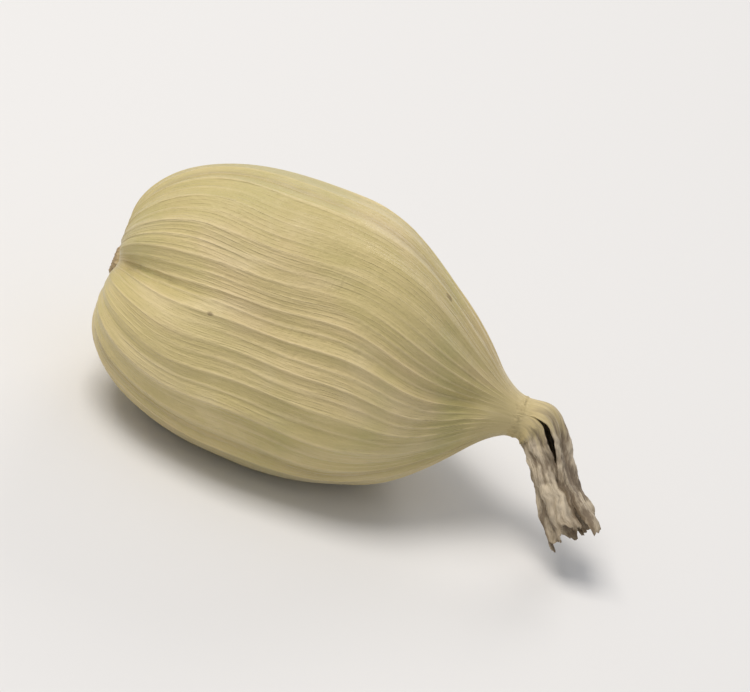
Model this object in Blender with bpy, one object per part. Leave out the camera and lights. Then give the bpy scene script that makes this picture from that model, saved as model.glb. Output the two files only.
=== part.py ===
"""A green cardamom pod: one dried capsule, lying on one of its three broad faces.

Three blunt lobes run from a rounded, puckered base with a stalk scar to a narrow beak, where the withered
calyx tube bends down. Fine ribs follow the husk from end to end. +X points from the base to the beak,
+Z is up, and the origin lies on the surface under the middle of the pod's box.

Lengths are in millimetres until the mesh is made. A station is a distance along the axis from the base's
furthest reach, and an angle goes round that axis from +Y towards +Z.
"""

import math
from collections import namedtuple

import bmesh
import bpy
import numpy as np

MM = 0.001

# A hump of skin: how high it rises, the place of its middle and its reach to each side.
Swell = namedtuple("Swell", "rise place reach")
# A wave over the skin: its length along the pod, its turns round the pod, its phase and its height.
Wave = namedtuple("Wave", "length turns phase height")
# A crease pattern round a tube: its number of creases, its phase and its height.
Creases = namedtuple("Creases", "count phase height")

# The husk's outline, from the rounded base over its widest ring to the neck.
BODY_LENGTH = 12.1
HALF_WIDTH = 3.83
WIDEST_STATION = 5.0
BASE_BLUNTNESS = 2.3
BASE_FULLNESS = 2.73
BEAK_SWELL = 3.0
BEAK_TAPER = 1.75
NECK_RADIUS = 0.56

# Three lobes: one on top, one low on each side, and a broad face between each two. The belly hangs lower.
LOBES = 3
TOP_LOBE_ANGLE = math.radians(90.0)
LOBE_RISE = 0.088
LOBE_FULLNESS = (0.012, -0.016, 0.008)
LOBE_REACH = 0.7
BELLY = Swell(0.22, 9.3, 1.7)

# Ribs along the husk, each with its own strength and one weak stretch. Waves carry them off straight lines.
RIBS_PER_LOBE = 10
RIB_HEIGHT = 0.095
RIB_STRENGTHS = (0.4, 1.4)
RIB_WEAKNESS = 0.75
WEAK_STATIONS = (2.5, 10.0)
WEAK_REACH = 1.5
RIB_SHARPNESS = 1.5
RIB_STEPS = (0.0, 0.3, 0.5, 0.7)
SHARE_BELOW_SKIN = 0.4
LOWER_AT_BEAK = 0.35
BEAK_STATIONS = (9.0, 11.5)
WANDERINGS = (Wave(7.6, 2, 0.0, 0.026), Wave(3.9, -3, 1.0, 0.013))
RIB_SEED = 11

# Furrows: a fine seam on each lobe's crest and a wide valley down the middle of each face.
SEAM_DEPTH = 0.055
SEAM_REACH = math.radians(3.2)
VALLEY_REACH = math.radians(13.0)
VALLEY_AT_BASE = 0.52
VALLEY_AT_MIDDLE = 0.04
VALLEY_RISES_OVER = (0.2, 4.2)
VALLEY_AT_BEAK = Swell(0.16, 10.6, 1.0)

# Slow dents and swells, where the dry husk has sunk between the seeds.
DENTS = (
    Wave(3.3, 5, 0.6, 0.016),
    Wave(3.7, -4, 2.1, 0.015),
    Wave(6.1, 2, 0.8, 0.027),
    Wave(5.2, -2, 2.6, 0.020),
)

# Over these radii the lobes, the ribs and the valleys grow out of the round skin at both ends.
LOBES_GROW_OVER = (0.5, 1.6)
RIBS_GROW_OVER = (0.75, 2.0)
VALLEYS_GROW_OVER = (0.7, 1.8)

# The puckered base and the scar of the stalk in it. The scar's outline is given below its top.
DIMPLE_DEPTH = 0.42
DIMPLE_REACH = 0.95
CAP_STARTS_AT = 0.66
SCAR_HEIGHT = 0.28
SCAR_RADIUS = 0.46
SCAR_OUTLINE = (
    (0.09, 0.13),
    (0.0, 0.27),
    (0.03, 0.38),
    (0.13, SCAR_RADIUS),
    (SCAR_HEIGHT, SCAR_RADIUS + 0.04),
)

# The withered calyx: a creased tube, bent down from the beak, with a split side and a ragged open end.
CALYX_LENGTH = 3.55
CALYX_RADIUS = 0.6
CALYX_BEND = math.radians(56.0)
BENDS_OVER = (0.0, 1.15)
CALYX_LIFT = math.radians(9.0)
LIFTS_OVER = (1.6, 3.4)
CALYX_BEND_TOWARDS = math.radians(238.0)
AXIS_STEPS = 400
CALYX_KNEE = Swell(0.08, 0.42, 0.32)
CALYX_WAIST = Swell(-0.05, 1.5, 0.5)
CALYX_FLARE = 0.17
FLARES_FROM = 2.1
CALYX_PLEATS = (Creases(5, 0.0, 0.15), Creases(9, 1.1, 0.068), Creases(2, -1.0, 0.14))
PLEATS_GROW_OVER = (0.1, 1.3)
NECK_BLEND = 0.5
CALYX_TWIST = math.radians(55.0)
CALYX_TEETH = (Creases(3, 0.8, 0.2), Creases(8, -1.57, 0.07), Creases(13, 2.0, 0.04))
TEETH_FROM = 0.55
SPLIT = Swell(0.24, 1.0, 0.55)
SPLIT_ANGLE = math.radians(137.0)
SPLIT_REACH = math.radians(17.0)
MOUTH_DEPTH = 0.8
MOUTH_SHARES = (0.72, 0.66, 0.45)

# How far the lowest face is pressed flat where the pod rests.
RESTING_PRESS = 0.18

CAP_ROWS = 12
TAPER_ROWS = 16
TAPER_CROWDING = 1.35
CALYX_ROWS = 10

HUSK_COLOUR = (0.51, 0.43, 0.20, 1.0)
HUSK_ROUGHNESS = 0.55


def clear_scene():
    for obj in list(bpy.data.objects):
        bpy.data.objects.remove(obj, do_unlink=True)


def ease(value, low, high):
    """0 below low, 1 above high, and a smooth rise between."""
    share = np.clip((value - low) / (high - low), 0.0, 1.0)
    return share * share * (3.0 - 2.0 * share)


def hump(value, middle, reach):
    """1 at the middle, falling to nothing a few reaches away."""
    return np.exp(-(((value - middle) / reach) ** 2))


def swell_at(swell, place):
    return swell.rise * hump(place, swell.place, swell.reach)


def waves_at(waves, station, angle):
    """The sum of the waves at a station and an angle."""
    return sum(
        wave.height * np.sin(2.0 * math.pi * station / wave.length + wave.turns * angle + wave.phase)
        for wave in waves
    )


def creases_at(creases, angle):
    """The sum of the crease patterns at an angle."""
    return sum(each.height * np.cos(each.count * angle + each.phase) for each in creases)


def angle_from(angle, other):
    """The angle between two directions round the axis, from 0 to half a turn."""
    return np.abs((angle - other + math.pi) % (2.0 * math.pi) - math.pi)


def rib_columns():
    """The columns of points round the pod: each one's angle, its rib and how far up the rib it is."""
    ribs = LOBES * RIBS_PER_LOBE
    pitch = 2.0 * math.pi / ribs
    angles, numbers, rises = [], [], []
    for rib in range(ribs):
        for step in RIB_STEPS:
            angles.append(TOP_LOBE_ANGLE + pitch * (rib + step))
            numbers.append(rib)
            rises.append((0.5 - 0.5 * math.cos(2.0 * math.pi * step)) ** RIB_SHARPNESS)
    return np.array(angles), np.array(numbers), np.array(rises)


def scar_outline():
    """Stations and radii over the stalk scar, from its middle down its side."""
    top = DIMPLE_DEPTH - SCAR_HEIGHT
    return [(top + below, radius) for below, radius in SCAR_OUTLINE]


def cap_outline():
    """Stations and radii over the rounded base, from the dimple out to the widest ring."""
    outline = []
    start = math.asin((CAP_STARTS_AT / HALF_WIDTH) ** (BASE_FULLNESS / 2.0))
    for row in range(CAP_ROWS):
        turn = start + (math.pi / 2.0 - start) * row / CAP_ROWS
        radius = HALF_WIDTH * math.sin(turn) ** (2.0 / BASE_FULLNESS)
        station = WIDEST_STATION * (1.0 - math.cos(turn) ** (2.0 / BASE_BLUNTNESS))
        outline.append((station + DIMPLE_DEPTH * float(hump(radius, 0.0, DIMPLE_REACH)), radius))
    return outline


def taper_outline():
    """Stations and radii from the widest ring to the neck."""
    outline = []
    for row in range(TAPER_ROWS):
        share = 1.0 - (1.0 - row / TAPER_ROWS) ** TAPER_CROWDING
        taper = (1.0 - share**BEAK_SWELL) ** BEAK_TAPER
        station = WIDEST_STATION + (BODY_LENGTH - WIDEST_STATION) * share
        outline.append((station, NECK_RADIUS + (HALF_WIDTH - NECK_RADIUS) * taper))
    return outline


def husk_rings(angles):
    """The husk's skin: a ring of points for each row of the outline, with its lobes but no relief."""
    outline = np.array(scar_outline() + cap_outline() + taper_outline())
    station = outline[:, :1]
    radius = outline[:, 1:]
    grown = ease(radius, *LOBES_GROW_OVER)
    around = angles + grown * waves_at(WANDERINGS, station, angles)
    section = 1.0 + grown * LOBE_RISE * np.cos(LOBES * (around - TOP_LOBE_ANGLE))
    for lobe, fullness in enumerate(LOBE_FULLNESS):
        middle = TOP_LOBE_ANGLE + 2.0 * math.pi * lobe / LOBES
        section = section + grown * fullness * hump(angle_from(around, middle), 0.0, LOBE_REACH)
    drop = swell_at(BELLY, station)
    y = radius * section * np.cos(around) + drop * math.cos(CALYX_BEND_TOWARDS)
    z = radius * section * np.sin(around) + drop * math.sin(CALYX_BEND_TOWARDS)
    x = np.broadcast_to(station, y.shape)
    return np.stack([x, y, z], axis=2), station, radius, around


def skin_normals(points):
    """Unit directions out of a grid of points whose columns close into rings."""
    along = np.gradient(points, axis=0)
    across = np.roll(points, -1, axis=1) - np.roll(points, 1, axis=1)
    normals = np.cross(across, along)
    return normals / np.linalg.norm(normals, axis=2, keepdims=True)


def rib_relief(station, numbers, rises):
    """How far each rib stands out along its length: strong or faint, with a weak stretch of its own."""
    draw = np.random.default_rng(RIB_SEED)
    ribs = LOBES * RIBS_PER_LOBE
    strength = draw.uniform(*RIB_STRENGTHS, ribs)
    weak_station = draw.uniform(*WEAK_STATIONS, ribs)
    weakness = draw.uniform(0.0, RIB_WEAKNESS, ribs)
    whole = 1.0 - weakness[numbers] * hump(station, weak_station[numbers], WEAK_REACH)
    return RIB_HEIGHT * strength[numbers] * whole * (rises - SHARE_BELOW_SKIN)


def husk_relief(station, radius, around, numbers, rises):
    """How far the skin stands out of, or sinks below, the smooth husk."""
    ribbed = ease(radius, *RIBS_GROW_OVER) * (1.0 - LOWER_AT_BEAK * ease(station, *BEAK_STATIONS))
    from_seam = angle_from(LOBES * around, LOBES * TOP_LOBE_ANGLE) / LOBES
    from_valley = math.pi / LOBES - from_seam
    seam = SEAM_DEPTH * hump(from_seam, 0.0, SEAM_REACH)
    near_base = 1.0 - ease(station, *VALLEY_RISES_OVER)
    depth = VALLEY_AT_MIDDLE + (VALLEY_AT_BASE - VALLEY_AT_MIDDLE) * near_base
    depth = depth + swell_at(VALLEY_AT_BEAK, station)
    valley = depth * ease(radius, *VALLEYS_GROW_OVER) * hump(from_valley, 0.0, VALLEY_REACH)
    return ribbed * (rib_relief(station, numbers, rises) + waves_at(DENTS, station, around) - seam) - valley


def bent_direction(angle, turned):
    """Where a direction round the husk's axis points once the axis has turned towards its bend."""
    share_in = np.cos(angle - CALYX_BEND_TOWARDS)
    share_side = np.sin(angle - CALYX_BEND_TOWARDS)
    inward = np.cos(turned) * share_in
    x = -np.sin(turned) * share_in
    y = inward * math.cos(CALYX_BEND_TOWARDS) - share_side * math.sin(CALYX_BEND_TOWARDS)
    z = inward * math.sin(CALYX_BEND_TOWARDS) + share_side * math.cos(CALYX_BEND_TOWARDS)
    return np.stack([x, y, z], axis=-1)


def calyx_axis(length):
    """The bent axis at these lengths past the neck: the points, and how far the axis has turned."""
    steps = np.linspace(0.0, 1.5 * CALYX_LENGTH, AXIS_STEPS)
    spacing = steps[1]
    turned = CALYX_BEND * ease(steps, *BENDS_OVER) - CALYX_LIFT * ease(steps, *LIFTS_OVER)
    forward = np.interp(length, steps, np.cumsum(np.cos(turned)) * spacing - spacing)
    aside = np.interp(length, steps, np.cumsum(np.sin(turned)) * spacing)
    y = aside * math.cos(CALYX_BEND_TOWARDS)
    z = aside * math.sin(CALYX_BEND_TOWARDS)
    return np.stack([BODY_LENGTH + forward, y, z], axis=-1), np.interp(length, steps, turned)


def calyx_radius(length, angles):
    """The tube's outer radius, creased, split on one side and flared at its end."""
    radius = CALYX_RADIUS + swell_at(CALYX_KNEE, length) + swell_at(CALYX_WAIST, length)
    radius = radius + CALYX_FLARE * ease(length, FLARES_FROM, CALYX_LENGTH)
    twisted = angles + CALYX_TWIST * length / CALYX_LENGTH
    creased = 1.0 + ease(length, *PLEATS_GROW_OVER) * creases_at(CALYX_PLEATS, twisted)
    split = swell_at(SPLIT, length) * hump(angle_from(angles, SPLIT_ANGLE), 0.0, SPLIT_REACH)
    return NECK_RADIUS + (radius * creased - split - NECK_RADIUS) * ease(length, 0.0, NECK_BLEND)


def calyx_rings(angles):
    """Rings over the calyx's outside, over its torn rim and down into its mouth."""
    rings = [(CALYX_LENGTH * row / CALYX_ROWS, 1.0) for row in range(CALYX_ROWS + 1)]
    into_mouth = np.linspace(0.0, MOUTH_DEPTH, len(MOUTH_SHARES))
    rings += [(CALYX_LENGTH - depth, share) for depth, share in zip(into_mouth, MOUTH_SHARES)]
    grid = []
    for length, share in rings:
        torn = creases_at(CALYX_TEETH, angles) * ease(length, TEETH_FROM * CALYX_LENGTH, CALYX_LENGTH)
        centre, turned = calyx_axis(length + torn)
        radius = calyx_radius(length, angles)
        grid.append(centre + share * radius[:, None] * bent_direction(angles, turned))
    return np.array(grid)


def pod_grid():
    angles, numbers, rises = rib_columns()
    smooth, station, radius, around = husk_rings(angles)
    relief = husk_relief(station, radius, around, numbers, rises)
    husk = smooth + skin_normals(smooth) * relief[:, :, None]
    return np.concatenate([husk, calyx_rings(angles)])


def settle(grid):
    """Presses the lowest face flat where it rests, and stands the box's middle over the origin."""
    floor = grid[:, :, 2].min() + RESTING_PRESS
    grid[:, :, 2] = np.maximum(grid[:, :, 2], floor)
    low = grid.min(axis=(0, 1))
    high = grid.max(axis=(0, 1))
    return grid - np.array([(low[0] + high[0]) / 2.0, (low[1] + high[1]) / 2.0, floor])


def skin_over(grid):
    """One closed skin over the rings, with a point in the middle of each end."""
    skin = bmesh.new()
    rings = [[skin.verts.new(point * MM) for point in ring] for ring in grid]
    columns = len(rings[0])
    for ring, following in zip(rings, rings[1:]):
        for here in range(columns):
            there = (here + 1) % columns
            skin.faces.new((ring[here], ring[there], following[there], following[here]))
    for ring, points in ((rings[0], grid[0]), (rings[-1], grid[-1])):
        middle = skin.verts.new(points.mean(axis=0) * MM)
        for here in range(columns):
            skin.faces.new((ring[here], ring[(here + 1) % columns], middle))
    bmesh.ops.recalc_face_normals(skin, faces=skin.faces)
    return skin


def husk_material():
    material = bpy.data.materials.new("husk")
    material.use_nodes = True
    shader = material.node_tree.nodes["Principled BSDF"]
    shader.inputs["Base Color"].default_value = HUSK_COLOUR
    shader.inputs["Roughness"].default_value = HUSK_ROUGHNESS
    shader.inputs["Metallic"].default_value = 0.0
    return material


def make_pod():
    mesh = bpy.data.meshes.new("pod")
    skin = skin_over(settle(pod_grid()))
    skin.to_mesh(mesh)
    skin.free()
    mesh.shade_smooth()
    mesh.materials.append(husk_material())
    pod = bpy.data.objects.new("pod", mesh)
    bpy.context.collection.objects.link(pod)
    return pod


clear_scene()
make_pod()
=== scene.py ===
"""A green cardamom pod at rest: a dry ribbed husk, the scar of its stalk and its withered calyx."""

import math
from collections import namedtuple

import bmesh
import bpy
import numpy as np
from mathutils import Matrix, Vector, noise


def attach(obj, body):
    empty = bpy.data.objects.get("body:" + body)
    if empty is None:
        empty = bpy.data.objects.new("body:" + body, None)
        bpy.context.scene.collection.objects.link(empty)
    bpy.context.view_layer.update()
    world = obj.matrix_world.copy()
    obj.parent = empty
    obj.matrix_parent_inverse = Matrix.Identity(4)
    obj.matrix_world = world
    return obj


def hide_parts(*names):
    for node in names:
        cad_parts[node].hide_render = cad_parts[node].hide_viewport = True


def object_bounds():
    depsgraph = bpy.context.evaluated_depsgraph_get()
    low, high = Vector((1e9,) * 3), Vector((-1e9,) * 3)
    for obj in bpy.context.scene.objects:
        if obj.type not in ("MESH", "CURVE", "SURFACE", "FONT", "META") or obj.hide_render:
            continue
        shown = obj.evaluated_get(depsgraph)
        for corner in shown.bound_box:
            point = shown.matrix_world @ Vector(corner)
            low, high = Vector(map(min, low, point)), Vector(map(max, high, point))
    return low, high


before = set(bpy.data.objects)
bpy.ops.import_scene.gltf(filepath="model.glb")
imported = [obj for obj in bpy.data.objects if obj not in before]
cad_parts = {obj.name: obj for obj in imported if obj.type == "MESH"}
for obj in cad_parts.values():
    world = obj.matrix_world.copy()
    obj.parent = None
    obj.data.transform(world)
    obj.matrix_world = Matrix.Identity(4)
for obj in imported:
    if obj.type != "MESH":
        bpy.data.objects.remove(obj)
cad_low, cad_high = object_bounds()

# Lengths are in millimetres until they are multiplied by this, and angles are in radians.
MM = 0.001

# A hump: how high it rises, the place of its middle and its reach to each side.
Swell = namedtuple("Swell", "rise place reach")
# A wave over the skin: its length along the pod, its turns round the pod, its phase and its height.
Wave = namedtuple("Wave", "length turns phase height")
# A crease pattern round a tube: its number of creases, its phase and its height.
Creases = namedtuple("Creases", "count phase height")
# Noise on the grain: its features' sizes across and along it, its seed and its octaves.
Grain = namedtuple("Grain", "across along seed octaves")
# Nerves along the husk: their number, how far their phase sways, the share they fill and their height.
Nerves = namedtuple("Nerves", "count sway width height")
# Uneven places: how far they go to each side, how crowded they are, their seed and their octaves.
Rough = namedtuple("Rough", "height crowding seed octaves")
# A square lamp: its place to the view's right, up and towards the camera, its size, power and colour.
Lamp = namedtuple("Lamp", "place size power colour")

# Each octave of noise is this much weaker than the one before, and its features are this much smaller.
OCTAVE_FALL = 0.6
OCTAVE_STEP = 2.0

# The pod's axis runs along +X from the base to the neck, where the husk goes over into the calyx.
BASE_X = cad_low.x
NECK_X = BASE_X + 11.96 * MM
HUSK_END_X = NECK_X - 0.04 * MM
NECK_RING = 0.12 * MM
MEAN_RADIUS = 3.2

# The ribs' columns: where their stations start, and the belly and the waves that carry them aside.
STATIONS_START_X = BASE_X - 0.139 * MM
BELLY = Swell(0.22, 9.3, 1.7)
WANDERINGS = (Wave(7.6, 2, 0.0, 0.026), Wave(3.9, -3, 1.0, 0.013))
WANDERINGS_GROW_OVER = (0.5, 1.6)
TOP_LOBE_ANGLE = math.radians(90.0)
LOBES = 3
SEAM_REACH = math.radians(2.4)

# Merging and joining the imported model's loose triangles.
MERGE_WITHIN = 0.001 * MM
QUAD_ANGLE = math.radians(60.0)

# Fine relief on the husk. Wrinkles and puckers are stronger in the hollows than on the ribs' crests.
RIB_BLUR = 60
RIB_SOFTENING = 0.12
RIB_FULL_HEIGHT = 0.04
RIB_NERVES = Nerves(60, 2.2, 0.26, 0.036)
NERVE_SWAY = Grain(1.3, 4.5, 4.1, 1)
NERVE_STRENGTH = Grain(1.1, 5.0, 8.8, 1)
NERVE_STRENGTHS = (0.75, 1.3)
STRIAE = Grain(0.24, 3.5, 1.7, 2)
STRIA_HEIGHT = 0.012
WRINKLES = Grain(1.3, 0.42, 7.3, 2)
WRINKLE_WIDTH = 0.20
WRINKLE_DEPTH = 0.016
WRINKLES_BELOW = 0.5
DENTS = Grain(2.3, 3.2, 5.0, 2)
DENT_DEPTH = 0.035
PUCKERS = Grain(0.42, 0.60, 9.6, 2)
PUCKER_HEIGHT = 0.016
PUCKERS_BETWEEN = 0.7
PUCKERS_LESS_ON_CREST = 0.6
RELIEF_GROWS_OVER = (0.7, 1.7)
RELIEF_ENDS_OVER = (11.4, 11.95)
FLOOR_CLEARS_OVER = 0.25
BASE_STAIN_RADII = (0.6, 2.0)
BASE_STAIN_STATIONS = (1.0, 2.0)
TIP_STATIONS = (10.4, 12.0)

# The withered calyx: a sheet rolled round an axis that bends down from the neck, open along a slit.
CALYX_LENGTH = 3.6
CALYX_RADIUS = 0.6
CALYX_BEND = math.radians(56.0)
BENDS_OVER = (0.0, 1.15)
CALYX_LIFT = math.radians(9.0)
LIFTS_OVER = (1.6, 3.4)
CALYX_BEND_TOWARDS = math.radians(238.0)
AXIS_SPAN = (-1.0, 1.5 * CALYX_LENGTH)
AXIS_STEPS = 600
CALYX_KNEE = Swell(0.09, 0.42, 0.32)
CALYX_WAIST = Swell(-0.06, 1.5, 0.5)
CALYX_FLARE = 0.17
FLARES_FROM = 2.1
CALYX_PLEATS = (Creases(5, 0.0, 0.14), Creases(9, 1.1, 0.07), Creases(2, -1.0, 0.12))
PLEATS_GROW_OVER = (0.1, 1.3)
CALYX_NERVES = (Creases(23, 0.4, 0.022), Creases(31, 2.2, 0.014))
NERVES_DRIFT = 0.12
NECK_BLEND = 0.5
CALYX_TWIST = math.radians(55.0)
CALYX_TEETH = (Creases(3, 0.8, 0.18), Creases(8, -1.57, 0.09), Creases(13, 2.0, 0.05))
CALYX_FRAY = Rough(0.10, 9.0, 3.0, 3)
# Each tear: the angle of its middle, its depth and its reach to each side.
TEARS = ((2.1, 0.75, 0.10), (3.9, 0.5, 0.07), (5.2, 0.95, 0.09), (0.9, 0.42, 0.08), (0.2, 0.3, 0.05))
# The collar: how far it reaches back over the husk, and how it comes out of the husk's skin.
COLLAR_BACK = 0.34
COLLAR_WAVE = Rough(0.12, 4.0, 1.0, 2)
COLLAR_SUNK = 0.012
COLLAR_RISE = 0.032
COLLAR_RISES_OVER = (-0.34, -0.04)
# The slit: its angle round the tube, how far it opens and how it sways. Away from it the edges lap.
SLIT_ANGLE = math.radians(137.0)
SLIT = Swell(math.radians(15.0), 1.0, 0.62)
SLIT_OPENS_OVER = (-0.34, 0.2)
SLIT_RAGGED = Rough(0.35, 3.0, 4.0, 3)
SLIT_SWAY = Rough(math.radians(9.0), 1.4, 9.0, 2)
SLIT_SWAYS_OVER = (0.0, 0.6)
LAP_ANGLE = math.radians(15.0)
LAP_KEEPS_OFF = 1.6
LAP_SHARE = 0.18
LAP_RISE = 0.07
LAP_SINK = 0.042
LAPS_OVER = (0.1, 0.6)
# The paper itself: its crumples, the curl of its torn end, its thickness and its rows of faces.
CALYX_CRUMPLE = Rough(0.07, 1.43, 2.0, 4)
CRUMPLES_ALONG = 0.45
EDGE_CURL = Rough(0.13, 2.3, 6.0, 2)
EDGE_CURLS_OUT = 0.013
EDGE_CURLS_FROM = 0.72
# How strongly the folds' painted highlight and painted shade show in the paper's colour.
FOLD_CONTRAST = 1.6
CALYX_WALL = 0.04
CALYX_COLUMNS = 230
CALYX_ROWS = 84

# The stalk's scar in the base.
SCAR_REACH = 0.55 * MM
SCAR_RADIUS = 0.49 * MM
SCAR_PROUD = 0.018 * MM
FIBRE_HEIGHT = 0.03 * MM
FIBRE_SIZE = 0.07 * MM
FIBRE_STRETCH = (0.3, 1.0, 1.0)
FIBRE_SEED = 6.0
SCAR_WALL = 0.05 * MM

# Colours of the finishes.
RIDGE_STRAW = (0.70, 0.565, 0.275)
HOLLOW_OLIVE = (0.50, 0.412, 0.165)
LEAF_GREEN = (0.42, 0.40, 0.135)
WARM_TAN = (0.66, 0.495, 0.275)
BLEACHED_STRAW = (0.78, 0.645, 0.40)
# Toasted brown: real browning at the seam, the base and the calyx's torn end, and painted shade in the
# husk's creases.
TOASTED_BROWN_AND_PAINTED_SHADE = (0.30, 0.205, 0.095)
FLECK_BROWN = (0.16, 0.10, 0.045)
NECK_STRAW = (0.56, 0.45, 0.245)
# Paper colours: the pale one is also a painted highlight on the calyx's outward folds, and the tan one is
# also painted shade in the creases between them.
PAPER_PALE_AND_PAINTED_HIGHLIGHT = (0.63, 0.53, 0.38)
PAPER_TAN_AND_PAINTED_SHADE = (0.225, 0.168, 0.107)
PAPER_SHADE = (0.12, 0.085, 0.055)
STALK_BROWN = (0.34, 0.24, 0.13)
PITH_TAN = (0.50, 0.40, 0.25)
FLOOR_COLOUR = (0.74, 0.73, 0.71)

# Patches on the husk are drawn out along the grain.
DRAWN_OUT = (1.0, 1.0, 0.45)

# The photograph's view: square to the upper near face, the beak turned down to the right.
CAMERA_ELEVATION = math.radians(30.0)
CAMERA_ROLL = math.radians(21.0)
CAMERA_DISTANCE = 150.0 * MM
FRAME_WIDTH = 20.5 * MM
SENSOR_WIDTH = 36.0

# The stage, in metres: a pale floor, two soft lamps and a dim, even room.
FLOOR_SIZE = 2.0
FLOOR_ROUGHNESS = 0.8
LAMPS = {
    "window": Lamp((-0.015, 0.16, 0.10), 0.10, 0.275, (1.0, 0.955, 0.91)),
    "back_window": Lamp((0.09, 0.15, -0.11), 0.08, 0.09, (1.0, 0.97, 0.95)),
}
ROOM_COLOUR = (0.9, 0.93, 1.0)
ROOM_STRENGTH = 0.47


def deselect_all():
    if bpy.context.object and bpy.context.object.mode != "OBJECT":
        bpy.ops.object.mode_set(mode="OBJECT")
    bpy.ops.object.select_all(action="DESELECT")


def take_up(piece):
    """Makes the piece the only selected and active one."""
    deselect_all()
    piece.select_set(True)
    bpy.context.view_layer.objects.active = piece


def in_edit_mode(piece, steps):
    """Runs the steps on the piece in edit mode, with nothing selected at the start."""
    take_up(piece)
    bpy.ops.object.mode_set(mode="EDIT")
    bpy.ops.mesh.select_mode(type="VERT")
    bpy.ops.mesh.select_all(action="DESELECT")
    steps()
    bpy.ops.object.mode_set(mode="OBJECT")


def finish_modifier(piece, kind, **settings):
    """Adds a modifier and applies it."""
    take_up(piece)
    modifier = piece.modifiers.new(kind.title(), kind)
    for name, value in settings.items():
        setattr(modifier, name, value)
    bpy.ops.object.modifier_apply(modifier=modifier.name)


def points_of(mesh):
    points = np.empty(len(mesh.vertices) * 3, np.float32)
    mesh.vertices.foreach_get("co", points)
    return points.reshape(-1, 3).astype(float)


def normals_of(mesh):
    normals = np.empty(len(mesh.vertices) * 3, np.float32)
    mesh.vertex_normals.foreach_get("vector", normals)
    return normals.reshape(-1, 3).astype(float)


def place_points(mesh, points):
    mesh.vertices.foreach_set("co", points.astype(np.float32).ravel())
    mesh.update()


def ease(value, low, high):
    """0 below low, 1 above high, and a smooth rise between."""
    share = np.clip((value - low) / (high - low), 0.0, 1.0)
    return share * share * (3.0 - 2.0 * share)


def hump(value, middle, reach):
    """1 at the middle, falling to nothing a few reaches away."""
    return np.exp(-(((value - middle) / reach) ** 2))


def swell_at(swell, place):
    return swell.rise * hump(place, swell.place, swell.reach)


def creases_at(creases, angle):
    return sum(each.height * np.cos(each.count * angle + each.phase) for each in creases)


def waves_at(waves, station, angle):
    return sum(
        wave.height * np.sin(2.0 * math.pi * station / wave.length + wave.turns * angle + wave.phase)
        for wave in waves
    )


def noise_at(places, octaves):
    """Smooth noise, about -1 to 1, at each row of places."""
    return np.array([noise.fractal(Vector(place), OCTAVE_FALL, OCTAVE_STEP, octaves) for place in places])


def rough_at(rough, places):
    return rough.height * noise_at(places * rough.crowding + rough.seed, rough.octaves)


def keep_values(mesh, **values):
    """Keeps named values on the mesh's points for its material."""
    for name, value in values.items():
        attribute = mesh.attributes.new(name, "FLOAT", "POINT")
        attribute.data.foreach_set("value", np.asarray(value, np.float32))


def keep_grain(mesh, places):
    """Keeps places across and along the grain, in millimetres, on the mesh's points."""
    attribute = mesh.attributes.new("grain", "FLOAT_VECTOR", "POINT")
    attribute.data.foreach_set("vector", np.asarray(places, np.float32).ravel())


def keep_where(piece, wanted):
    """Deletes the faces whose middle isn't wanted."""
    def cut():
        bpy.ops.mesh.select_mode(type="FACE")
        mesh = bmesh.from_edit_mesh(piece.data)
        for face in mesh.faces:
            face.select_set(not wanted(face.calc_center_median()))
        bpy.ops.mesh.delete(type="FACE")

    in_edit_mode(piece, cut)


def close_openings(piece):
    """Fills each open loop of edges with faces."""
    def fill():
        bpy.ops.mesh.select_non_manifold(use_wire=False, use_multi_face=False, use_non_contiguous=False)
        bpy.ops.mesh.edge_face_add()
        bpy.ops.mesh.quads_convert_to_tris()

    in_edit_mode(piece, fill)


def merged_pod():
    """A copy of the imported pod: its triangles joined into one skin, in quads where they were quads."""
    pod = bpy.data.objects.new("husk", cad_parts["pod"].data.copy())
    bpy.context.scene.collection.objects.link(pod)
    pod.data.name = "husk"
    pod.data.materials.clear()

    def join():
        bpy.ops.mesh.select_all(action="SELECT")
        bpy.ops.mesh.remove_doubles(threshold=MERGE_WITHIN)
        bpy.ops.mesh.select_all(action="SELECT")
        bpy.ops.mesh.tris_convert_to_quads(face_threshold=QUAD_ANGLE, shape_threshold=QUAD_ANGLE)

    in_edit_mode(pod, join)
    bpy.ops.mesh.customdata_custom_splitnormals_clear()
    finish_modifier(pod, "SUBSURF", levels=2, render_levels=2)
    return pod


def axis_at_neck(points):
    """Where the pod's axis passes, in y and z: the middle of the ring at the neck."""
    ring = points[np.abs(points[:, 0] - NECK_X) < NECK_RING]
    return (ring[:, 1].min() + ring[:, 1].max()) / 2.0, (ring[:, 2].min() + ring[:, 2].max()) / 2.0


def copy_of(piece, name):
    fresh = piece.copy()
    fresh.data = piece.data.copy()
    fresh.name = name
    fresh.data.name = name
    bpy.context.scene.collection.objects.link(fresh)
    return fresh


def blurred(mesh, values, rounds):
    """The values evened out over the mesh's edges."""
    edges = np.empty(len(mesh.edges) * 2, np.int32)
    mesh.edges.foreach_get("vertices", edges)
    first, second = edges.reshape(-1, 2).T
    size = len(values)
    count = np.bincount(edges, minlength=size).astype(float)
    for _ in range(rounds):
        total = np.stack([
            np.bincount(first, values[second, axis], size) + np.bincount(second, values[first, axis], size)
            for axis in range(values.shape[1])
        ], axis=1)
        values = 0.5 * values + 0.5 * total / count[:, None]
    return values


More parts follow.
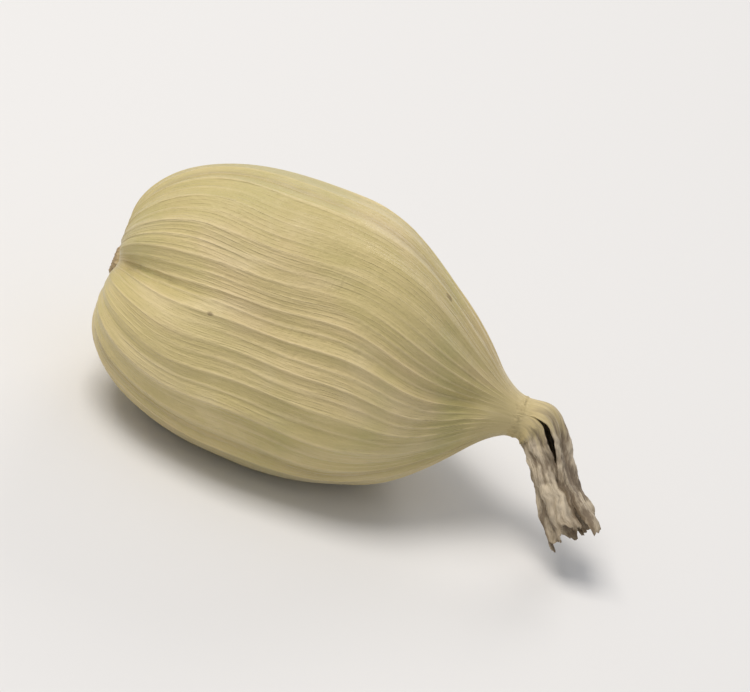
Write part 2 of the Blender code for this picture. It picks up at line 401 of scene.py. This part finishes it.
def column_angles(points, axis_y, axis_z):
    """Each point's angle round the pod, less what carries the ribs off straight lines there."""
    station = (points[:, 0] - STATIONS_START_X) / MM
    drop = swell_at(BELLY, station)
    y = (points[:, 1] - axis_y) / MM - drop * math.cos(CALYX_BEND_TOWARDS)
    z = (points[:, 2] - axis_z) / MM - drop * math.sin(CALYX_BEND_TOWARDS)
    around = np.arctan2(z, y)
    return around - ease(np.hypot(y, z), *WANDERINGS_GROW_OVER) * waves_at(WANDERINGS, station, around)


def grain_places(points, column):
    """Millimetres round the pod and along it, so that a pattern follows the ribs to both ends."""
    return np.stack([MEAN_RADIUS * np.cos(column), MEAN_RADIUS * np.sin(column), points[:, 0] / MM], axis=1)


def grain_noise(places, grain):
    stretch = np.array([1.0 / grain.across, 1.0 / grain.across, 1.0 / grain.along])
    return noise_at(places * stretch + grain.seed, grain.octaves)


def shape_husk(husk, axis_y, axis_z):
    """Gives the husk its nerves, striae, puckers, wrinkles and dents, and keeps masks for its finish."""
    mesh = husk.data
    points = points_of(mesh)
    normals = normals_of(mesh)
    column = column_angles(points, axis_y, axis_z)
    places = grain_places(points, column)
    station = (points[:, 0] - BASE_X) / MM
    radius = np.hypot(points[:, 1] - axis_y, points[:, 2] - axis_z) / MM
    height = (points[:, 2] - points[:, 2].min()) / MM
    grown = ease(radius, *RELIEF_GROWS_OVER) * (1.0 - ease(station, *RELIEF_ENDS_OVER))
    grown = grown * ease(height, 0.0, FLOOR_CLEARS_OVER)

    rib = np.sum((points - blurred(mesh, points, RIB_BLUR)) * normals, axis=1) / MM
    crest = np.clip(rib / RIB_FULL_HEIGHT, -1.0, 1.0)
    usual, spread = NERVE_STRENGTHS
    strength = np.clip(usual + spread * grain_noise(places, NERVE_STRENGTH), 0.0, 1.0)
    phase = RIB_NERVES.count * column + RIB_NERVES.sway * grain_noise(places, NERVE_SWAY)
    nerve = ease(np.cos(phase), 1.0 - RIB_NERVES.width, 1.0) * strength
    wrinkle = hump(grain_noise(places, WRINKLES), 0.0, WRINKLE_WIDTH)
    wrinkle = wrinkle * np.clip(WRINKLES_BELOW - crest, 0.0, 1.0)
    puckered = np.clip(PUCKERS_BETWEEN - PUCKERS_LESS_ON_CREST * crest, 0.0, 1.0)
    pucker = grain_noise(places, PUCKERS) * puckered
    lift = (
        RIB_NERVES.height * nerve
        + STRIA_HEIGHT * grain_noise(places, STRIAE)
        + PUCKER_HEIGHT * pucker
        - WRINKLE_DEPTH * wrinkle
        - DENT_DEPTH * grain_noise(places, DENTS)
        - RIB_SOFTENING * rib
    )
    place_points(mesh, points + normals * (lift * grown)[:, None] * MM)

    from_seam = np.arccos(np.cos(LOBES * (column - TOP_LOBE_ANGLE))) / LOBES
    keep_grain(mesh, places)
    keep_values(
        mesh,
        crest=0.5 + 0.5 * crest,
        nerve=nerve,
        seam=hump(from_seam, 0.0, SEAM_REACH),
        base=(1.0 - ease(radius, *BASE_STAIN_RADII)) * (1.0 - ease(station, *BASE_STAIN_STATIONS)),
        tip=ease(station, *TIP_STATIONS),
        girth=np.clip(radius / MEAN_RADIUS, 0.0, 1.0),
    )


def make_husk(pod, axis_y, axis_z):
    keep_where(pod, lambda middle: middle.x < HUSK_END_X)
    close_openings(pod)
    shape_husk(pod, axis_y, axis_z)
    return pod


def bent_direction(angle, turned):
    """Where a direction round the pod's axis points once the axis has turned towards its bend."""
    share_in = np.cos(angle - CALYX_BEND_TOWARDS)
    share_side = np.sin(angle - CALYX_BEND_TOWARDS)
    inward = np.cos(turned) * share_in
    x = -np.sin(turned) * share_in
    y = inward * math.cos(CALYX_BEND_TOWARDS) - share_side * math.sin(CALYX_BEND_TOWARDS)
    z = inward * math.sin(CALYX_BEND_TOWARDS) + share_side * math.cos(CALYX_BEND_TOWARDS)
    return np.stack([x, y, z], axis=-1)


def calyx_axis(length):
    """The calyx's bent axis at these lengths past the neck: the points, and how far it has turned."""
    steps = np.linspace(*AXIS_SPAN, AXIS_STEPS)
    spacing = steps[1] - steps[0]
    turned = CALYX_BEND * ease(steps, *BENDS_OVER) - CALYX_LIFT * ease(steps, *LIFTS_OVER)
    forward = np.interp(length, steps, steps[0] + (np.cumsum(np.cos(turned)) - 1.0) * spacing)
    aside = np.interp(length, steps, np.cumsum(np.sin(turned)) * spacing)
    y = aside * math.cos(CALYX_BEND_TOWARDS)
    z = aside * math.sin(CALYX_BEND_TOWARDS)
    return np.stack([forward, y, z], axis=-1), np.interp(length, steps, turned)


def calyx_end(angle, ring):
    """How far down the tube each part of its torn end reaches."""
    end = CALYX_LENGTH + creases_at(CALYX_TEETH, angle) + rough_at(CALYX_FRAY, ring)
    for middle, depth, reach in TEARS:
        from_tear = np.abs((angle - middle + math.pi) % (2.0 * math.pi) - math.pi)
        end = end - depth * np.exp(-from_tear / reach)
    return end


def slit_at(length):
    """The angle that the slit opens, less than nothing where its edges lap, and the angle of its middle."""
    along = np.stack([length, np.zeros_like(length), np.zeros_like(length)], axis=1)
    lapped = 1.0 - hump(length, SLIT.place, LAP_KEEPS_OFF * SLIT.reach)
    opening = (swell_at(SLIT, length) - LAP_ANGLE * lapped) * ease(length, *SLIT_OPENS_OVER)
    sway = rough_at(SLIT_SWAY, along) * ease(length, *SLIT_SWAYS_OVER)
    return opening * (1.0 + rough_at(SLIT_RAGGED, along)), SLIT_ANGLE + sway


def calyx_radii(length, angle, crumple, wave, outline):
    """The tube's radii, with its wavy collar on the husk's outline, and how far its folds stand out."""
    twisted = angle + CALYX_TWIST * length / CALYX_LENGTH
    drift = NERVES_DRIFT / CALYX_CRUMPLE.height * crumple
    folds = creases_at(CALYX_PLEATS, twisted) + creases_at(CALYX_NERVES, angle + drift)
    radius = CALYX_RADIUS + swell_at(CALYX_KNEE, length) + swell_at(CALYX_WAIST, length)
    radius = radius + CALYX_FLARE * ease(length, FLARES_FROM, CALYX_LENGTH)
    radius = radius + ease(length, *PLEATS_GROW_OVER) * (radius * folds + crumple)
    risen = ease(length - wave, *COLLAR_RISES_OVER)
    collar = np.interp(length, *outline) - COLLAR_SUNK + COLLAR_RISE * risen
    return collar + (radius - collar) * ease(length, 0.0, NECK_BLEND), folds


def neck_outline(points, axis_y, axis_z):
    """Lengths from the neck back over the husk, in millimetres, and the husk's radius at each."""
    past_neck = (points[:, 0] - NECK_X) / MM
    near = (past_neck > -2.0 * COLLAR_BACK) & (past_neck < 0.0)
    radius = np.hypot(points[near, 1] - axis_y, points[near, 2] - axis_z) / MM
    order = np.argsort(past_neck[near])
    return past_neck[near][order], radius[order]


def roll_calyx(sheet, outline):
    """Rolls the flat sheet into the calyx tube: its places past the neck, its grain and its masks."""
    points = points_of(sheet.data) / (CALYX_LENGTH * MM)
    across = points[:, 0] + 0.5
    down = points[:, 1] + 0.5
    unslit = SLIT_ANGLE + 2.0 * math.pi * across
    ring = np.stack([np.cos(unslit), np.sin(unslit), np.zeros_like(unslit)], axis=1)
    wave = rough_at(COLLAR_WAVE, ring)
    start = wave - COLLAR_BACK
    length = start + (calyx_end(unslit, ring) - start) * down
    opening, middle = slit_at(length)
    angle = middle + opening / 2.0 + (2.0 * math.pi - opening) * across

    tube = np.stack([ring[:, 0], ring[:, 1], CRUMPLES_ALONG * length / CALYX_RADIUS], axis=1)
    crumple = rough_at(CALYX_CRUMPLE, tube)
    radius, folds = calyx_radii(length, unslit, crumple, wave, outline)
    over = ease(across, 1.0 - LAP_SHARE, 1.0)
    under = 1.0 - ease(across, 0.0, LAP_SHARE)
    radius = radius + ease(length, *LAPS_OVER) * (LAP_RISE * over - LAP_SINK * under)
    radius = radius + ease(down, EDGE_CURLS_FROM, 1.0) * (rough_at(EDGE_CURL, ring) + EDGE_CURLS_OUT)

    centre, turned = calyx_axis(length)
    rolled = centre + radius[:, None] * bent_direction(angle, turned)
    grain = np.stack([MEAN_RADIUS * ring[:, 0], MEAN_RADIUS * ring[:, 1], NECK_X / MM + length], axis=1)
    # The fold mask carries the folds' painted highlight and painted shade into the paper's colour.
    fold = 0.5 + FOLD_CONTRAST * folds + crumple / CALYX_CRUMPLE.height
    return rolled, grain, {"fold": fold, "down": down, "past_neck": length}


def make_calyx(pod, axis_y, axis_z):
    """The calyx: a thin sheet as long as the tube, rolled round the bent axis and given its thickness."""
    deselect_all()
    bpy.ops.mesh.primitive_grid_add(
        x_subdivisions=CALYX_COLUMNS,
        y_subdivisions=CALYX_ROWS,
        size=CALYX_LENGTH * MM,
        location=(0.0, 0.0, 0.0),
    )
    calyx = bpy.context.object
    calyx.name = "calyx"
    calyx.data.name = "calyx"
    rolled, grain, masks = roll_calyx(calyx, neck_outline(points_of(pod.data), axis_y, axis_z))
    place_points(calyx.data, np.array([NECK_X, axis_y, axis_z]) + rolled * MM)
    keep_grain(calyx.data, grain)
    keep_values(calyx.data, **masks)
    finish_modifier(calyx, "SOLIDIFY", thickness=CALYX_WALL * MM, offset=-1.0, use_rim=True)
    return calyx


def make_scar(pod, axis_y, axis_z):
    """The stalk's scar: the stub in the dimple, with fibres standing from its broken end."""
    scar = copy_of(pod, "stalk_scar")

    def on_stub(middle):
        radius = math.hypot(middle.y - axis_y, middle.z - axis_z)
        return middle.x < BASE_X + SCAR_REACH and radius < SCAR_RADIUS

    keep_where(scar, on_stub)
    mesh = scar.data
    points = points_of(mesh)
    normals = normals_of(mesh)
    fibre = noise_at(points * np.array(FIBRE_STRETCH) / FIBRE_SIZE + FIBRE_SEED, 2)
    radius = np.hypot(points[:, 1] - axis_y, points[:, 2] - axis_z)
    lift = SCAR_PROUD + FIBRE_HEIGHT * fibre
    place_points(mesh, points + normals * lift[:, None])
    keep_grain(mesh, points / MM)
    keep_values(mesh, fibre=0.5 + 0.5 * fibre, rim=radius / SCAR_RADIUS)
    finish_modifier(scar, "SOLIDIFY", thickness=SCAR_WALL, offset=-1.0, use_rim=True)
    return scar


def feed(tree, socket, value):
    """Joins the socket to another node's output, or sets it. A colour is given without its alpha."""
    if isinstance(value, bpy.types.NodeSocket):
        tree.links.new(value, socket)
    elif socket.type == "RGBA":
        socket.default_value = (*value, 1.0)
    else:
        socket.default_value = value


def add_node(tree, kind, inputs=None, **settings):
    """Adds a node with these settings and inputs."""
    node = tree.nodes.new("ShaderNode" + kind)
    for name, value in settings.items():
        setattr(node, name, value)
    for name, value in (inputs or {}).items():
        feed(tree, node.inputs[name], value)
    return node


def math_of(tree, operation, first, second=0.0):
    return add_node(tree, "Math", {0: first, 1: second}, operation=operation).outputs[0]


def weighted_sum(tree, *parts):
    """Adds up values, each times its own weight."""
    total = 0.0
    for value, weight in parts:
        total = add_node(tree, "Math", {0: value, 1: weight, 2: total}, operation="MULTIPLY_ADD").outputs[0]
    return total


def stretched(tree, place, stretch):
    return add_node(tree, "VectorMath", {0: place, 1: stretch}, operation="MULTIPLY").outputs["Vector"]


def stretched_noise(tree, place, across, along, detail=1.0):
    """Noise on the grain, about 0.5 in the middle, with features of this size across and along it."""
    across_scale = math_of(tree, "DIVIDE", 1.0, across)
    along_scale = math_of(tree, "DIVIDE", 1.0, along)
    stretch = add_node(tree, "CombineXYZ", {"X": across_scale, "Y": across_scale, "Z": along_scale})
    place = stretched(tree, place, stretch.outputs["Vector"])
    inputs = {"Vector": place, "Scale": 1.0, "Detail": detail}
    return add_node(tree, "TexNoise", inputs).outputs["Fac"]


def smooth_step(tree, value, low, high):
    """0 below low, 1 above high, and a smooth rise between."""
    inputs = {"Value": value, "From Min": low, "From Max": high}
    return add_node(tree, "MapRange", inputs, interpolation_type="SMOOTHSTEP").outputs["Result"]


def value_range(tree, value, low, high):
    """Spreads a value from 0 to 1 over low to high."""
    return add_node(tree, "MapRange", {"Value": value, "To Min": low, "To Max": high}).outputs["Result"]


def mix_colours(tree, share, first, second):
    """The first colour where the share is 0, the second where it is 1."""
    inputs = {0: share, 6: first, 7: second}
    return add_node(tree, "Mix", inputs, data_type="RGBA").outputs[2]


def stain(tree, skin, mask, strength, colour):
    """The skin, turned to the colour by this strength where the mask is 1."""
    return mix_colours(tree, math_of(tree, "MULTIPLY", mask, strength), skin, colour)


def kept_value(tree, name):
    return add_node(tree, "Attribute", attribute_name=name).outputs["Fac"]


def kept_grain(tree):
    return add_node(tree, "Attribute", attribute_name="grain").outputs["Vector"]


def millimetres(tree):
    """The place on the object, in millimetres."""
    place = add_node(tree, "TexCoord").outputs["Object"]
    return add_node(tree, "VectorMath", {0: place, 3: 1.0 / MM}, operation="SCALE").outputs["Vector"]


def new_group(name, inputs, outputs):
    """An empty node group: its named inputs, each with its kind and value, and its named outputs."""
    group = bpy.data.node_groups.new(name, "ShaderNodeTree")
    for label, kind, value in inputs:
        socket = group.interface.new_socket(label, in_out="INPUT", socket_type="NodeSocket" + kind)
        if value is not None:
            socket.default_value = value
    for label in outputs:
        group.interface.new_socket(label, in_out="OUTPUT", socket_type="NodeSocketFloat")
    start = group.nodes.new("NodeGroupInput")
    end = group.nodes.new("NodeGroupOutput")
    return group, start.outputs, end.inputs


def fibre_streaks():
    """Streaks along the grain: broad ones, and fine ones for the fibres in them."""
    inputs = (("Grain", "Vector", None), ("Width", "Float", 0.3), ("Length", "Float", 3.0))
    group, given, result = new_group("fibre_streaks", inputs, ("Broad", "Fine"))
    fine_width = math_of(group, "MULTIPLY", given["Width"], 0.23)
    fine_length = math_of(group, "MULTIPLY", given["Length"], 0.23)
    broad = stretched_noise(group, given["Grain"], given["Width"], given["Length"], 2.0)
    fine = stretched_noise(group, given["Grain"], fine_width, fine_length, 3.0)
    group.links.new(smooth_step(group, broad, 0.3, 0.7), result["Broad"])
    group.links.new(smooth_step(group, fine, 0.25, 0.75), result["Fine"])
    return group


def nerve_lines():
    """Fine lines from end to end: so many round the pod, swaying, and fading in places."""
    inputs = (
        ("Grain", "Vector", None),
        ("Count", "Float", 180.0),
        ("Sway", "Float", 16.0),
        ("Width", "Float", 0.6),
    )
    group, given, result = new_group("nerve_lines", inputs, ("Lines",))
    around = add_node(group, "SeparateXYZ", {"Vector": given["Grain"]}).outputs
    angle = math_of(group, "ARCTAN2", around["Y"], around["X"])
    sway = math_of(group, "MULTIPLY", stretched_noise(group, given["Grain"], 1.3, 4.0), given["Sway"])
    phase = math_of(group, "ADD", math_of(group, "MULTIPLY", angle, given["Count"]), sway)
    least = math_of(group, "SUBTRACT", 1.0, given["Width"])
    rise = smooth_step(group, math_of(group, "COSINE", phase), least, 1.0)
    strength = smooth_step(group, stretched_noise(group, given["Grain"], 0.8, 2.6, 2.0), 0.36, 0.60)
    group.links.new(math_of(group, "MULTIPLY", rise, strength), result["Lines"])
    return group


def cross_wrinkles():
    """Soft creases across the grain, in loose groups, where the drying skin has drawn together."""
    inputs = (("Grain", "Vector", None), ("Across", "Float", 1.4), ("Along", "Float", 0.15))
    group, given, result = new_group("cross_wrinkles", inputs, ("Creases",))
    folds = stretched_noise(group, given["Grain"], given["Across"], given["Along"])
    crease = smooth_step(group, folds, 0.5, 0.3)
    strength = smooth_step(group, stretched_noise(group, given["Grain"], 2.5, 2.5), 0.35, 0.60)
    group.links.new(math_of(group, "MULTIPLY", crease, strength), result["Creases"])
    return group


def slow_patches():
    """Soft-edged patches of a given size, in millimetres."""
    inputs = (
        ("Place", "Vector", None),
        ("Size", "Float", 3.0),
        ("Least", "Float", 0.5),
        ("Full", "Float", 0.7),
    )
    group, given, result = new_group("slow_patches", inputs, ("Patches",))
    scale = math_of(group, "DIVIDE", 1.0, given["Size"])
    inputs = {"Vector": given["Place"], "Scale": scale, "Detail": 4.0, "Distortion": 0.9}
    cloud = add_node(group, "TexNoise", inputs)
    patches = smooth_step(group, cloud.outputs["Fac"], given["Least"], given["Full"])
    group.links.new(patches, result["Patches"])
    return group


def small_flecks():
    """Small uneven flecks of unlike sizes, longer along the grain, in loose groups."""
    inputs = (("Grain", "Vector", None), ("Spacing", "Float", 0.5), ("Size", "Float", 0.3))
    group, given, result = new_group("small_flecks", inputs, ("Flecks",))
    scale = math_of(group, "DIVIDE", 1.0, given["Spacing"])
    place = stretched(group, given["Grain"], (1.0, 1.0, 0.6))
    cells = add_node(group, "TexVoronoi", {"Vector": place, "Scale": scale})
    own_size = add_node(group, "SeparateColor", {"Color": cells.outputs["Color"]}).outputs["Red"]
    reach = math_of(group, "MULTIPLY", math_of(group, "POWER", own_size, 4.0), given["Size"])
    ragged = stretched_noise(group, given["Grain"], 0.05, 0.08)
    from_middle = weighted_sum(group, (ragged, 0.12), (cells.outputs["Distance"], 1.0))
    inside = smooth_step(group, math_of(group, "SUBTRACT", reach, from_middle), -0.04, 0.05)
    grouped = smooth_step(group, stretched_noise(group, given["Grain"], 2.4, 2.4), 0.40, 0.60)
    group.links.new(math_of(group, "MULTIPLY", inside, grouped), result["Flecks"])
    return group


def place_group(tree, group, **inputs):
    return add_node(tree, "Group", inputs, node_tree=group).outputs


def new_material(name):
    material = bpy.data.materials.new(name)
    material.use_nodes = True
    tree = material.node_tree
    tree.nodes.clear()
    output = add_node(tree, "OutputMaterial")
    shader = add_node(tree, "BsdfPrincipled")
    tree.links.new(shader.outputs["BSDF"], output.inputs["Surface"])
    return material, tree, shader


def give_bump(tree, shader, height, strength, depth):
    inputs = {"Height": height, "Strength": strength, "Distance": depth}
    tree.links.new(add_node(tree, "Bump", inputs).outputs["Normal"], shader.inputs["Normal"])


def neck_skin(tree, groups, grain):
    """The streaked skin at the neck, where the husk goes over into the calyx."""
    streaks = place_group(tree, groups["fibres"], Grain=grain, Width=0.30, Length=2.6)
    share = weighted_sum(tree, (streaks["Broad"], 0.55), (streaks["Fine"], 0.45))
    return mix_colours(tree, 0.5, mix_colours(tree, share, HOLLOW_OLIVE, RIDGE_STRAW), NECK_STRAW)


def husk_finish(groups):
    """Dry straw-green skin: pale ribs and nerves, olive hollows, soft patches, fibres and a few flecks."""
    material, tree, shader = new_material("straw_green_husk")
    place = millimetres(tree)
    grain = kept_grain(tree)
    crest = kept_value(tree, "crest")
    nerve = kept_value(tree, "nerve")
    hollow = math_of(tree, "SUBTRACT", 1.0, crest)
    fibres = place_group(tree, groups["fibres"], Grain=grain, Width=0.22, Length=3.2)
    hairlines = place_group(tree, groups["fibres"], Grain=grain, Width=0.09, Length=1.1)
    lines = place_group(tree, groups["nerves"], Grain=grain, Count=180.0, Sway=17.0, Width=0.7)
    fine = lines["Lines"]
    wrinkles = place_group(tree, groups["wrinkles"], Grain=grain, Across=1.3, Along=0.15)
    creases = math_of(tree, "MULTIPLY", wrinkles["Creases"], smooth_step(tree, hollow, 0.25, 0.7))
    greener = place_group(tree, groups["patches"], Place=place, Size=4.4, Least=0.46, Full=0.66)
    along = stretched(tree, grain, DRAWN_OUT)
    tanner = place_group(tree, groups["patches"], Place=along, Size=2.5, Least=0.48, Full=0.70)
    paler = place_group(tree, groups["patches"], Place=along, Size=1.4, Least=0.48, Full=0.74)
    flecks = place_group(tree, groups["flecks"], Grain=grain, Spacing=0.42, Size=0.24)
    bumps = add_node(tree, "TexNoise", {"Vector": place, "Scale": 4.5, "Detail": 4.0, "Roughness": 0.62})
    leather = bumps.outputs["Fac"]

    ridge = weighted_sum(
        tree,
        (crest, 0.31),
        (nerve, 0.30),
        (fibres["Broad"], 0.22),
        (fine, 0.14),
        (hairlines["Fine"], 0.16),
    )
    skin = mix_colours(tree, smooth_step(tree, ridge, 0.05, 1.0), HOLLOW_OLIVE, RIDGE_STRAW)
    skin = stain(tree, skin, greener["Patches"], 0.32, LEAF_GREEN)
    skin = stain(tree, skin, tanner["Patches"], 0.40, WARM_TAN)
    skin = stain(tree, skin, paler["Patches"], 0.34, BLEACHED_STRAW)
    skin = stain(tree, skin, nerve, 0.22, BLEACHED_STRAW)
    # Painted shade: the cross-wrinkles' creases in the hollows are darkened towards brown.
    skin = stain(tree, skin, creases, 0.12, TOASTED_BROWN_AND_PAINTED_SHADE)
    skin = stain(tree, skin, kept_value(tree, "seam"), 0.26, TOASTED_BROWN_AND_PAINTED_SHADE)
    skin = stain(tree, skin, kept_value(tree, "base"), 0.28, TOASTED_BROWN_AND_PAINTED_SHADE)
    skin = mix_colours(tree, kept_value(tree, "tip"), skin, neck_skin(tree, groups, grain))
    skin = stain(tree, skin, flecks["Flecks"], 0.6, FLECK_BROWN)
    tree.links.new(skin, shader.inputs["Base Color"])

    sheen = weighted_sum(tree, (crest, 0.45), (fibres["Fine"], 0.35), (nerve, 0.2))
    tree.links.new(value_range(tree, sheen, 0.64, 0.40), shader.inputs["Roughness"])
    relief = weighted_sum(
        tree,
        (nerve, 0.012),
        (fine, 0.010),
        (fibres["Fine"], 0.007),
        (hairlines["Fine"], 0.007),
        (creases, -0.010),
        (leather, 0.030),
    )
    give_bump(tree, shader, math_of(tree, "MULTIPLY", relief, kept_value(tree, "girth")), 1.0, MM)
    shader.inputs["Specular IOR Level"].default_value = 0.42
    shader.inputs["Sheen Weight"].default_value = 0.35
    shader.inputs["Sheen Roughness"].default_value = 0.35
    return material


def calyx_finish(groups):
    """Withered paper: straw-green where it leaves the neck, paler on its folds with a painted highlight,
    and darker tan between them with painted shade.
    """
    material, tree, shader = new_material("withered_paper")
    grain = kept_grain(tree)
    fibres = place_group(tree, groups["fibres"], Grain=grain, Width=0.5, Length=0.9)
    hairlines = place_group(tree, groups["fibres"], Grain=grain, Width=0.25, Length=0.5)
    place = millimetres(tree)
    stained = place_group(tree, groups["patches"], Place=place, Size=0.8, Least=0.45, Full=0.7)
    fold = smooth_step(tree, kept_value(tree, "fold"), 0.0, 1.1)
    lit = weighted_sum(tree, (fold, 0.45), (fibres["Broad"], 0.35), (hairlines["Fine"], 0.30))
    # Painted highlight and painted shade: the paper is paler on its outward folds and darker tan in the
    # creases between them, mixed with its fibre streaks.
    paper = mix_colours(tree, smooth_step(tree, lit, 0.25, 0.9), PAPER_TAN_AND_PAINTED_SHADE, PAPER_PALE_AND_PAINTED_HIGHLIGHT)
    paper = stain(tree, paper, stained["Patches"], 0.38, PAPER_SHADE)
    at_end = smooth_step(tree, kept_value(tree, "down"), 0.90, 1.0)
    paper = stain(tree, paper, at_end, 0.22, TOASTED_BROWN_AND_PAINTED_SHADE)
    past_neck = weighted_sum(tree, (kept_value(tree, "past_neck"), 1.0), (fibres["Broad"], -0.5))
    still_husk = smooth_step(tree, past_neck, 0.95, -0.15)
    paper = mix_colours(tree, still_husk, paper, neck_skin(tree, groups, grain))
    tree.links.new(paper, shader.inputs["Base Color"])
    tree.links.new(value_range(tree, fibres["Fine"], 0.75, 0.5), shader.inputs["Roughness"])
    relief = weighted_sum(tree, (fibres["Fine"], 0.008), (hairlines["Fine"], 0.006))
    give_bump(tree, shader, relief, 1.0, MM)
    return material


def scar_finish(groups):
    """The broken stalk: dark bark at the rim and paler pith, with torn fibres."""
    material, tree, shader = new_material("broken_stalk")
    fibres = place_group(tree, groups["fibres"], Grain=kept_grain(tree), Width=0.06, Length=0.06)
    pith = smooth_step(tree, kept_value(tree, "rim"), 0.85, 0.2)
    torn = math_of(tree, "MULTIPLY", kept_value(tree, "fibre"), fibres["Broad"])
    share = math_of(tree, "ADD", math_of(tree, "MULTIPLY", pith, 0.5), torn)
    wood = mix_colours(tree, smooth_step(tree, share, 0.1, 1.0), STALK_BROWN, PITH_TAN)
    side = weighted_sum(tree, (kept_value(tree, "rim"), 1.0), (fibres["Fine"], 0.15))
    wood = stain(tree, wood, smooth_step(tree, side, 0.86, 1.06), 0.75, NECK_STRAW)
    tree.links.new(wood, shader.inputs["Base Color"])
    tree.links.new(value_range(tree, fibres["Fine"], 0.85, 0.7), shader.inputs["Roughness"])
    give_bump(tree, shader, fibres["Fine"], 0.5, 0.01 * MM)
    return material


def finish_piece(piece, material):
    piece.data.materials.clear()
    piece.data.materials.append(material)
    piece.data.shade_smooth()
    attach(piece, "root")
    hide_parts("pod")


def make_floor():
    deselect_all()
    bpy.ops.mesh.primitive_plane_add(size=FLOOR_SIZE, location=(0.0, 0.0, 0.0))
    floor = bpy.context.object
    floor.name = "floor"
    material, tree, shader = new_material("pale_floor")
    feed(tree, shader.inputs["Base Color"], FLOOR_COLOUR)
    feed(tree, shader.inputs["Roughness"], FLOOR_ROUGHNESS)
    floor.data.materials.append(material)


def view_turn():
    """The camera's turn: from the near side, looking down on the upper near face, rolled."""
    back = Vector((0.0, -math.cos(CAMERA_ELEVATION), math.sin(CAMERA_ELEVATION)))
    level = (-back).to_track_quat("-Z", "Y").to_matrix()
    return level @ Matrix.Rotation(CAMERA_ROLL, 3, "Z")


def make_camera():
    data = bpy.data.cameras.new("camera")
    camera = bpy.data.objects.new("camera", data)
    bpy.context.scene.collection.objects.link(camera)
    data.sensor_width = SENSOR_WIDTH
    data.lens = SENSOR_WIDTH * CAMERA_DISTANCE / FRAME_WIDTH
    data.clip_start = 1.0 * MM
    data.clip_end = 10.0
    turn = view_turn()
    target = (cad_low + cad_high) / 2.0
    camera.matrix_world = Matrix.Translation(target + turn.col[2] * CAMERA_DISTANCE) @ turn.to_4x4()
    bpy.context.scene.camera = camera


def soft_light(name, lamp):
    """Hangs a square lamp at its place in the view, facing the pod."""
    data = bpy.data.lights.new(name, "AREA")
    data.shape = "SQUARE"
    data.size = lamp.size
    data.energy = lamp.power
    data.color = lamp.colour
    light = bpy.data.objects.new(name, data)
    bpy.context.scene.collection.objects.link(light)
    target = (cad_low + cad_high) / 2.0
    light.location = target + view_turn() @ Vector(lamp.place)
    light.rotation_mode = "QUATERNION"
    light.rotation_quaternion = (target - light.location).to_track_quat("-Z", "Y")


def make_lights():
    world = bpy.data.worlds.new("room")
    bpy.context.scene.world = world
    world.use_nodes = True
    room = world.node_tree.nodes["Background"]
    feed(world.node_tree, room.inputs["Color"], ROOM_COLOUR)
    feed(world.node_tree, room.inputs["Strength"], ROOM_STRENGTH)
    for name, lamp in LAMPS.items():
        soft_light(name, lamp)
    bpy.context.scene.view_settings.view_transform = "Standard"


pod = merged_pod()
axis_y, axis_z = axis_at_neck(points_of(pod.data))
calyx = make_calyx(pod, axis_y, axis_z)
scar = make_scar(pod, axis_y, axis_z)
husk = make_husk(pod, axis_y, axis_z)

groups = {
    "fibres": fibre_streaks(),
    "nerves": nerve_lines(),
    "wrinkles": cross_wrinkles(),
    "patches": slow_patches(),
    "flecks": small_flecks(),
}
finish_piece(husk, husk_finish(groups))
finish_piece(calyx, calyx_finish(groups))
finish_piece(scar, scar_finish(groups))

make_floor()
make_camera()
make_lights()
